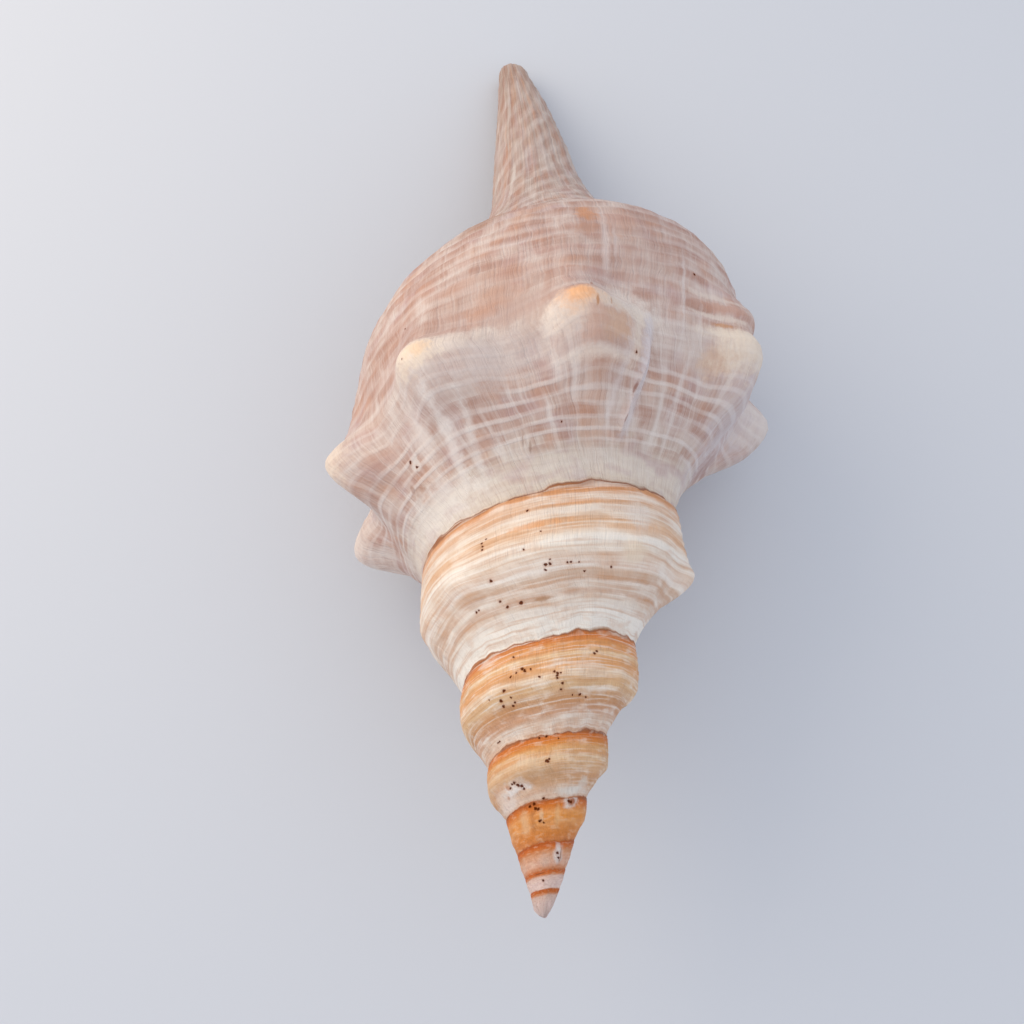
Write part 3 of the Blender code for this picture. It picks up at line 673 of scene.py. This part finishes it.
# growth lines: straight over the base, and running ahead towards the seam on the ramp
lead = add(tree, RANGE, {0: own_t, 2: SHOULDER, 3: LINE_LEAD * SHOULDER, 4: 0.0})
grown = add(tree, M, (turn, lead), operation="SUBTRACT")
grown = add(tree, M, (flutter, 0.03, grown), operation="MULTIPLY_ADD")

# threads: over the cords, five to a step on the ramp and 3 to 4 mm apart on the base
start, end = CORD_STEPS
cord = add(tree, M, (own_t, start), operation="MINIMUM")
cord = add(tree, M, (cord, CORDS_PER_STEP[0]), operation="MULTIPLY")
past_ramp = CORD_PHASE + CORDS_PER_STEP[1] * (end - start)
past_ramp = add(tree, RANGE, {0: own_t, 1: start, 2: end, 3: CORD_PHASE, 4: past_ramp})
past_base = add(tree, RANGE, {0: own_t, 1: end, 2: CANAL_TIP_STEP, 4: CANAL_THREADS})
twist = add(tree, M, (turn, on_canal), operation="MULTIPLY")
twist = add(tree, M, (twist, CANAL_TWIST), operation="MULTIPLY")
sway = add(tree, NOISE, {"Vector": on_shell, "Scale": 70.0, "Detail": 2.0})
sway = add(tree, M, (sway, CORD_SWAY, -CORD_SWAY / 2), operation="MULTIPLY_ADD")
for more in (past_ramp, past_base, twist, sway):
    cord = add(tree, M, (cord, more), operation="ADD")
crest = add(tree, M, (add(tree, M, (cord, math.tau), operation="MULTIPLY"),), operation="COSINE")
soft = add(tree, RANGE, {0: on_base, 3: -0.10, 4: -0.70})
thread = add(tree, RANGE, {0: crest, 1: soft, 2: 0.95}, interpolation_type="SMOOTHSTEP")
row = add(tree, M, (cord,), operation="FLOOR")
thread_row = add(tree, M, (add(tree, M, (cord, 0.5), operation="ADD"),), operation="FLOOR")

# patterns, each laid across growth lines and along rows or steps, and so many to one of them
patterns = {}
for label, across, per_turn, along, per_step, detail in (
    ("cell", grown, 31.0, row, 7.3, 2.0),           # tan cells 4 to 12 mm long between threads
    ("fade", grown, 14.0, thread_row, 5.7, 2.0),    # how far a thread shows, over 20 mm
    ("patch", grown, 22.0, own_t, 1.9, 3.0),        # clouds of 12 mm
    ("streak", grown, 110.0, own_t, 0.55, 1.5),     # white and tan streaks 2 mm wide
    ("hair", grown, 620.0, own_t, 1.3, 2.0),        # hairlines of 0.4 mm
    ("line", turn, 7.0, wavy_t, 6.0, 2.5),          # fine lines along the winding
    ("chalk", grown, 30.0, own_t, 1.1, 5.0),        # bleached patches with crumbled edges
):
    over = add(tree, M, (across, per_turn), operation="MULTIPLY")
    down = add(tree, M, (along, per_step), operation="MULTIPLY")
    spot = add(tree, "ShaderNodeCombineXYZ", (over, down))
    patterns[label] = add(tree, NOISE, {"Vector": spot, "Scale": 1.0, "Detail": detail},
                          noise_dimensions="2D")

# each pattern as a tint: which, from and to which value, where, colour and strength
for label, start, end, where, code, strength in (
    ("patch", 0.50, 0.70, on_last, "#B4949A", 0.45),
    ("patch", 0.47, 0.28, on_last, "#D2C2BA", 0.40),
    ("cell", 0.47, 0.60, showing, "#AC8070", 0.62),
    ("cell", 0.47, 0.34, showing, "#CDBDB5", 0.45),
    ("patch", 0.50, 0.68, on_middle, "#C98C58", 0.28),
    ("patch", 0.47, 0.30, on_middle, "#F5ECE2", 0.45),
    ("line", 0.52, 0.70, on_last, "#AD8472", 0.20),
    ("line", 0.47, 0.30, on_last, "#DDD0C8", 0.25),
    ("line", 0.52, 0.70, on_middle, "#C08350", 0.40),
    ("line", 0.46, 0.28, on_middle, "#F6EFE8", 0.50),
    ("patch", 0.50, 0.68, early, "#C06A28", 0.22),
    ("patch", 0.46, 0.30, early, "#F8DCC0", 0.28),
    ("streak", 0.52, 0.74, showing, "#A9806F", 0.30),
    ("streak", 0.44, 0.28, crossing, "#E4DCD8", 0.42),
    ("hair", 0.52, 0.75, on_last, "#946F60", 0.22),
    ("hair", 0.46, 0.28, on_last, "#E2D9D4", 0.22),
    ("chalk", 0.58, 0.72, on_last, "#E3DBD6", 0.35),
    ("chalk", 0.46, 0.32, showing, "#C8906E", 0.34),
):
    share = add(tree, RANGE, {0: patterns[label], 1: start, 2: end})
    colour = tint(colour, add(tree, M, (share, where), operation="MULTIPLY"), code, strength)
fade = add(tree, RANGE, {0: patterns["fade"], 1: 0.34, 2: 0.60, 3: 0.25, 4: 1.0})
weaker = add(tree, RANGE, {0: on_base, 3: 1.0, 4: 0.50})
for factor in (showing, fade, weaker):
    thread = add(tree, M, (thread, factor), operation="MULTIPLY")
colour = tint(colour, thread, "#E0D6D2", 0.60)

# stains and bare places, and a few patches of painted bluish shade, with uneven edges
jitter = add(tree, NOISE, {"Vector": on_shell, "Scale": 420.0, "Detail": 4.0, "Roughness": 0.7},
             output=1)
jitter = add(tree, V, (jitter, (0.5, 0.5, 0.5)), operation="SUBTRACT")
jitter = add(tree, V, (jitter, (STAIN_JITTER, STAIN_JITTER, 0.0)), operation="MULTIPLY")
for degrees, at, wide, tall, edge, code, strength in STAINS_AND_SHADE:
    off = add(tree, V, (winding_uv, ((90 - degrees) / 360, at, 0.0)), operation="SUBTRACT")
    off = add(tree, V, (off, (360 / wide, 1 / tall, 0.0), jitter), operation="MULTIPLY_ADD")
    off = add(tree, V, (off,), output=1, operation="LENGTH")
    near = add(tree, RANGE, {0: off, 1: 1 + edge, 2: 1 - edge}, interpolation_type="SMOOTHSTEP")
    colour = tint(colour, near, code, strength)

# pits of 0.4 to 1 mm, brown inside; the places come from the shell's own winding map
corner_uv = np.zeros(len(mesh.loops) * 2)
mesh.uv_layers["winding"].data.foreach_get("uv", corner_uv)
corner_uv = corner_uv.reshape(-1, 2)
ragged = add(tree, NOISE, {"Vector": on_shell, "Scale": 1300.0, "Detail": 2.0}, output=1)
ragged = add(tree, V, (ragged, (0.5, 0.5, 0.5)), operation="SUBTRACT")
ragged = add(tree, V, (ragged, PIT_JITTER, on_shell), operation="MULTIPLY_ADD")
nearest = None
for whorl, pits in enumerate(PITS):
    for degrees, at, width in pits:
        apart = np.abs(corner_uv - ((90 - degrees) / 360 - whorl, at)) * (2 * SPIRE_STEPS, 1)
        corner = mesh.loops[int(np.argmin(apart.sum(1)))]
        point = tuple(mesh.vertices[corner.vertex_index].co)
        off = add(tree, V, (ragged, point), output=1, operation="DISTANCE")
        off = add(tree, M, (off, 0.001 * width), operation="DIVIDE")
        nearest = off if nearest is None else add(tree, M, (nearest, off), operation="MINIMUM")
rim = add(tree, RANGE, {0: nearest, 1: PIT_RIM[0], 2: PIT_RIM[1]})
depth = add(tree, RANGE, {0: nearest, 1: PIT_DEPTH[0], 2: PIT_DEPTH[1]})
colour = tint(colour, rim, "#B86A34", 0.35)
colour = tint(colour, depth, "#5C2409", 0.95)
gloss = add(tree, RANGE, {0: depth, 3: 0.45, 4: 0.0})
tree.links.new(gloss, shader.inputs["Specular IOR Level"])

# the brown line along each seam: dirt in the seam and painted shade under the lap
line = add(tree, RANGE, {0: own_t, 1: LAP_DIRT_AND_SHADE[0], 2: LAP_DIRT_AND_SHADE[1]})
for where, code in ((on_middle, "#9A5528"), (on_last, "#8A4F2C"), (early, "#C86010")):
    colour = tint(colour, add(tree, M, (line, where), operation="MULTIPLY"), code, 0.85)
tree.links.new(colour, shader.inputs["Base Color"])
shader.inputs["Roughness"].default_value = 0.5
shader.inputs["IOR"].default_value = 1.5

grit = add(tree, NOISE, {"Vector": on_shell, "Scale": 900.0, "Detail": 3.0})
height = 0.0
for pattern, share in (
    (thread, 0.25), (patterns["hair"], 0.5), (patterns["streak"], 0.6), (patterns["chalk"], 0.5),
    (grit, 0.35), (depth, -0.6),
):
    height = add(tree, M, (pattern, share, height), operation="MULTIPLY_ADD")
normal = add(tree, "ShaderNodeBump", {"Height": height, "Distance": BUMP_HEIGHT})
tree.links.new(normal, shader.inputs["Normal"])


# The inside: the room where the snail lived, a smooth glazed lining of the same wall. It opens at
# the mouth, narrows into the open slot of the canal, and winds back out of sight. The lip's edge
# is thin and worn, and three low folds wind up the columella.

HOLLOW = (                  # the lip's section inside the wall, along the axis and out
    (0.1000, 0.0322), (0.1080, 0.0385), (0.1190, 0.0437), (0.1300, 0.0445), (0.1420, 0.0440),
    (0.1510, 0.0395), (0.1590, 0.0310), (0.1670, 0.0212), (0.1760, 0.0148), (0.1900, 0.0098))
HOLLOW_INSIDE = (           # back along the columella, and how far it bows out past the lip
    (0.1890, 0.0066, 0.0010), (0.1740, 0.0074, 0.0030), (0.1550, 0.0086, 0.0100),
    (0.1350, 0.0126, 0.0150), (0.1180, 0.0189, 0.0120), (0.1060, 0.0245, 0.0070))
HOLLOW_DEPTH = 1.12         # turns behind the lip
HOLLOW_OVERRUN = 0.10       # turns that the cut goes on past it
HOLLOW_RINGS = 110
HOLLOW_OUTER = 54           # steps of its outline along the outer wall
HOLLOW_INNER = 44           # and back along the columella
LIP_FLARE = 0.0022          # how far the wall thins towards the lip
FLARE_TURN = 0.055
FOLDS = (0.1545, 0.1605, 0.1665)
FOLD_HEIGHT = 0.0011
FOLD_WIDTH = 0.0012
SLOT_AZIMUTH = math.radians(-52)
SLOT_START = 0.170
SLOT_END = 0.228
SLOT_HALF_WIDTH = (0.0036, 0.0017)
SLOT_FLOOR = 0.009          # depth of its floor at the start
SLOT_RISE = 2.2             # the floor is up at the axis after one part in this many
SLOT_BOW = 1.5
SLOT_MOUTH = (0.034, 0.010)
SLOT_STEPS = 48
SLOT_CURVE = 12
TABLE_CUT = (0.2, 0.25, 0.1)    # half sizes and height of the block that cuts the worn flats
APEX_DOME = (               # share of the last ring, place on the axis, and step of the section
    (0.66, 0.0026, 1.5), (0.36, 0.0016, 1.2), (0.14, 0.0012, 1.0))
APEX_REACH = 0.02
CUT_WELD = 0.000004
SHARP_ANGLE = math.radians(42)


def canal_shift(along):
    """Sideways and upward shift of the canal at this place along the axis."""
    reach = max((along - CANAL_START) / (CANAL_END - CANAL_START), 0)
    side = CANAL_SIDE * math.sin(math.pi * min(reach, 1)) + CANAL_SWING * reach ** 2
    return side, CANAL_SAG * reach ** 3


def lay_down(across, up, along):
    """From the shell's own axis to where the shell lies."""
    return Vector((
        AXIS_START[0] + across,
        AXIS_START[1] + along * math.cos(AXIS_DIP) + up * math.sin(AXIS_DIP),
        AXIS_START[2] - along * math.sin(AXIS_DIP) + up * math.cos(AXIS_DIP),
    ))


def place(turn, along, out):
    """A point at this turn of the winding; the azimuth falls as the shell grows."""
    azimuth = math.pi / 2 - math.tau * turn
    side, up = canal_shift(along)
    return lay_down(out * math.cos(azimuth) + side, out * math.sin(azimuth) + up, along)


def tube(name, rows, material):
    """A closed tube through the rows of points, as an object with that material."""
    bm = bmesh.new()
    rings = [[bm.verts.new(point) for point in row] for row in rows]
    for near, far in zip(rings, rings[1:]):
        for i in range(len(near)):
            bm.faces.new((near[i - 1], near[i], far[i], far[i - 1]))
    bm.faces.new(rings[0])
    bm.faces.new(rings[-1])
    bmesh.ops.recalc_face_normals(bm, faces=bm.faces)
    tube_mesh = bpy.data.meshes.new(name)
    bm.to_mesh(tube_mesh)
    bm.free()
    tube_mesh.materials.append(material)
    item = bpy.data.objects.new(name, tube_mesh)
    bpy.context.scene.collection.objects.link(item)
    return item


lining = bpy.data.materials.new("glazed_lining")
lining.use_nodes = True

rows = []
for ring in range(HOLLOW_RINGS + 1):
    turn = LIP_TURN + HOLLOW_OVERRUN - (HOLLOW_DEPTH + HOLLOW_OVERRUN) * ring / HOLLOW_RINGS
    size = size_at(turn) / LIP_SIZE
    past = max(turn - LIP_TURN, 0) / HOLLOW_OVERRUN
    flare = LIP_FLARE * ramp(turn, LIP_TURN - FLARE_TURN, LIP_TURN)
    row = []
    for i in range(HOLLOW_OUTER + 1):
        along, out = smooth_through(HOLLOW, (len(HOLLOW) - 1) * i / HOLLOW_OUTER)
        thinned = flare * math.sin(math.pi * i / HOLLOW_OUTER) ** 0.5
        row.append(place(turn, size * along, size * (out + thinned)))
    for i in range(HOLLOW_INNER + 1):
        inside_at = (len(HOLLOW_INSIDE) - 1) * i / HOLLOW_INNER
        along, out, bow = smooth_through(HOLLOW_INSIDE, inside_at)
        fold = sum(math.exp(-((along - f) / FOLD_WIDTH) ** 2) for f in FOLDS) * FOLD_HEIGHT
        row.append(place(turn, size * along, size * (out + fold + past * bow)))
    rows.append(row)
hollow = tube("hollow", rows, lining)

toward = Vector((math.cos(SLOT_AZIMUTH), math.sin(SLOT_AZIMUTH)))
sideways = Vector((-toward.y, toward.x))
rows = []
for step in range(SLOT_STEPS + 1):
    share = step / SLOT_STEPS
    along = SLOT_START + (SLOT_END - SLOT_START) * share
    half = SLOT_HALF_WIDTH[0] + (SLOT_HALF_WIDTH[1] - SLOT_HALF_WIDTH[0]) * share
    deep = SLOT_FLOOR * max(1 - SLOT_RISE * share, 0) ** SLOT_BOW
    mouth = SLOT_MOUTH[0] + (SLOT_MOUTH[1] - SLOT_MOUTH[0]) * share
    angles = [math.pi * i / SLOT_CURVE for i in range(1, SLOT_CURVE)]
    outline = [(mouth, half), (deep, half)]
    outline += [(deep - half * math.sin(a), half * math.cos(a)) for a in angles]
    outline += [(deep, -half), (mouth, -half)]
    side, up = canal_shift(along)
    flats = [toward * depth + sideways * width for depth, width in outline]
    rows.append([lay_down(flat.x + side, flat.y + up, along) for flat in flats])
slot = tube("slot", rows, lining)

wide, long, high = TABLE_CUT
corners = ((-wide, -long), (wide, -long), (wide, long), (-wide, long))
worn_away = tube("worn_away", [[(x, y, z) for x, y in corners] for z in (-high, 0.0)], lining)

# close the ends of the winding: the point of the spire, the lip's edge and the canal's tip
bm = bmesh.new()
bm.from_mesh(mesh)
uv = bm.loops.layers.uv["winding"]
on_winding = set(bm.faces)
point_edges = [edge for edge in bm.edges
               if edge.is_boundary and edge.verts[0].co.y < AXIS_START[1] + APEX_REACH]
ring_verts = list({vert for edge in point_edges for vert in edge.verts})
centre = sum((vert.co for vert in ring_verts), Vector()) / len(ring_verts)
before = 1.0
dome_steps = {}
for share, along, step in APEX_DOME:
    extruded = bmesh.ops.extrude_edge_only(bm, edges=point_edges)["geom"]
    ring_verts = [item for item in extruded if isinstance(item, bmesh.types.BMVert)]
    kept = set(ring_verts)
    point_edges = [item for item in extruded
                   if isinstance(item, bmesh.types.BMEdge) and set(item.verts) <= kept]
    for vert in ring_verts:
        vert.co = lay_down(0, 0, along) + (vert.co - centre) * share / before
        dome_steps[vert] = step
    centre, before = lay_down(0, 0, along), share
bmesh.ops.holes_fill(bm, edges=[edge for edge in bm.edges if edge.is_boundary], sides=0)
for face in bm.faces:
    if face in on_winding:
        continue
    on_dome = any(vert in dome_steps for vert in face.verts)
    for loop in face.loops:
        near = [other for other in loop.vert.link_loops if other.face in on_winding]
        if on_dome:
            x, z = loop.vert.co.x - AXIS_START[0], loop.vert.co.z - AXIS_START[2]
            turn = LIP_TURN - WHORLS - math.atan2(x, z) / math.tau
            loop[uv].uv = (turn, dome_steps.get(loop.vert, SPIRE_STEPS))
        else:
            loop[uv].uv = near[0][uv].uv if near else (LIP_TURN, SHOULDER)
    if len(face.verts) > RINGS + 2:
        face.material_index = 1
bmesh.ops.recalc_face_normals(bm, faces=bm.faces)
bm.to_mesh(mesh)
bm.free()
mesh.materials.append(lining)
for name in ("spot", "place", "relief", "ring", "column"):
    mesh.attributes.remove(mesh.attributes[name])

shell = bpy.data.objects.new("shell_wall", mesh)
bpy.context.scene.collection.objects.link(shell)
for cutter in (hollow, slot, worn_away):
    modifier = shell.modifiers.new(cutter.name, "BOOLEAN")
    modifier.operation = "DIFFERENCE"
    modifier.solver = "EXACT"
    modifier.material_mode = "TRANSFER"
    modifier.object = cutter
evaluated = shell.evaluated_get(bpy.context.evaluated_depsgraph_get())
mesh = bpy.data.meshes.new_from_object(evaluated)
shell.modifiers.clear()
shell.data = mesh
for cutter in (hollow, slot, worn_away):
    bpy.data.objects.remove(cutter)
mesh.name = "shell_wall"

# along the cuts, points that lie as good as on a straight edge would leave needles
bm = bmesh.new()
bm.from_mesh(mesh)
bmesh.ops.remove_doubles(bm, verts=bm.verts, dist=CUT_WELD)
for again in range(3):
    bmesh.ops.dissolve_degenerate(bm, edges=bm.edges, dist=CUT_WELD)
    bmesh.ops.dissolve_verts(bm, verts=[vert for vert in bm.verts if len(vert.link_edges) == 2])
bm.to_mesh(mesh)
bm.free()
mesh.polygons.foreach_set("use_smooth", [True] * len(mesh.polygons))
mesh.set_sharp_from_angle(angle=SHARP_ANGLE)
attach(shell, "root")
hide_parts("shell")


# The finish of the inside: a smooth porcelain-like glaze over the growth lines, deep salmon orange
# inside and paler towards the lip, where wear has dulled it.

LINING = ((0.0, "#E9D6C4"), (0.12, "#E6BE9F"), (0.40, "#DD9A70"), (1.0, "#C97648"))
LINING_HEIGHT = 0.060       # above the table, where its colour is deepest
GLAZE_LINES = (260.0, 30.0, 260.0)  # growth lines 4 mm apart, drawn out along the shell
GLAZE_BUMP = 0.00008

tree = lining.node_tree
shader = tree.nodes["Principled BSDF"]
on_shell = add(tree, "ShaderNodeTexCoord", output=3)
stretched = add(tree, V, (on_shell, GLAZE_LINES), operation="MULTIPLY")
lines = add(tree, NOISE, {"Vector": stretched, "Scale": 1.0, "Detail": 3.0})
clouds = add(tree, NOISE, {"Vector": on_shell, "Scale": 55.0, "Detail": 3.0})
clouds = add(tree, M, (clouds, 0.5), operation="SUBTRACT")
deep = add(tree, "ShaderNodeSeparateXYZ", (on_shell,), output=2)
deep = add(tree, RANGE, {0: deep, 2: LINING_HEIGHT})
deep = add(tree, M, (clouds, 0.30, deep), operation="MULTIPLY_ADD")
colour = add(tree, "ShaderNodeValToRGB", (deep,))
elements = colour.node.color_ramp.elements
elements[0].color, elements[1].color = linear(LINING[0][1]), linear(LINING[-1][1])
for at, code in LINING[1:-1]:
    elements.new(at).color = linear(code)
for start, end, code, strength in ((0.50, 0.72, "#EBD3BE", 0.35), (0.48, 0.30, "#B9663C", 0.25)):
    share = add(tree, RANGE, {0: lines, 1: start, 2: end})
    colour = tint(colour, share, code, strength)
tree.links.new(colour, shader.inputs["Base Color"])
gloss = add(tree, RANGE, {0: deep, 2: 0.25, 3: 0.50, 4: 0.26})
tree.links.new(gloss, shader.inputs["Roughness"])
shader.inputs["IOR"].default_value = 1.5
normal = add(tree, "ShaderNodeBump", {"Height": lines, "Distance": GLAZE_BUMP, "Strength": 0.5})
tree.links.new(normal, shader.inputs["Normal"])


# The floor: a flat table top with a plain coat of pale, matt paint.
# It only carries the shell.

FLOOR_SIZE = 6.0

bpy.ops.mesh.primitive_plane_add(size=FLOOR_SIZE, location=(0, 0, 0))
floor = bpy.context.object
floor.name = "floor"
paint = bpy.data.materials.new("pale_floor")
paint.use_nodes = True
shader = paint.node_tree.nodes["Principled BSDF"]
shader.inputs["Base Color"].default_value = linear("#CCD1DB")
shader.inputs["Roughness"].default_value = 0.8
floor.data.materials.append(paint)


# The light: a large window on the left, behind the shell's base, that throws soft shadows.
# The pale walls of the room give the rest.

WINDOW_AT = (-0.40, 0.18, 0.26)
WINDOW_FACES = (0, 0, 0.02)
WINDOW_SIZE = 0.5
WINDOW_POWER = 1.52
ROOM_STRENGTH = 0.88

light = bpy.data.lights.new("window", "AREA")
light.shape = "SQUARE"
light.size = WINDOW_SIZE
light.energy = WINDOW_POWER
light.color = linear("#FFEACA")[:3]
window = bpy.data.objects.new("window", light)
window.location = WINDOW_AT
facing = Vector(WINDOW_FACES) - Vector(WINDOW_AT)
window.rotation_euler = facing.to_track_quat("-Z", "Y").to_euler()
bpy.context.scene.collection.objects.link(window)
room = bpy.data.worlds.new("room")
room.use_nodes = True
background = room.node_tree.nodes["Background"]
background.inputs["Color"].default_value = linear("#F8FAFF")
background.inputs["Strength"].default_value = ROOM_STRENGTH
bpy.context.scene.world = room
bpy.context.scene.view_settings.view_transform = "Standard"


# The camera: 29 cm above the table and almost over the spire, which makes the spire look long
# and the canal small.

SENSOR_WIDTH = 36.0
FOCAL_LENGTH = 42.47
CAMERA_AT = (-0.01987, -0.09283, 0.29076)
CAMERA_TURNED = (14.845, -2.267, 0.403)     # degrees

camera = bpy.data.cameras.new("camera")
camera.sensor_width = SENSOR_WIDTH
camera.lens = FOCAL_LENGTH
camera.clip_start = 0.01
viewer = bpy.data.objects.new("camera", camera)
viewer.location = CAMERA_AT
viewer.rotation_euler = [math.radians(angle) for angle in CAMERA_TURNED]
bpy.context.scene.collection.objects.link(viewer)
bpy.context.scene.camera = viewer
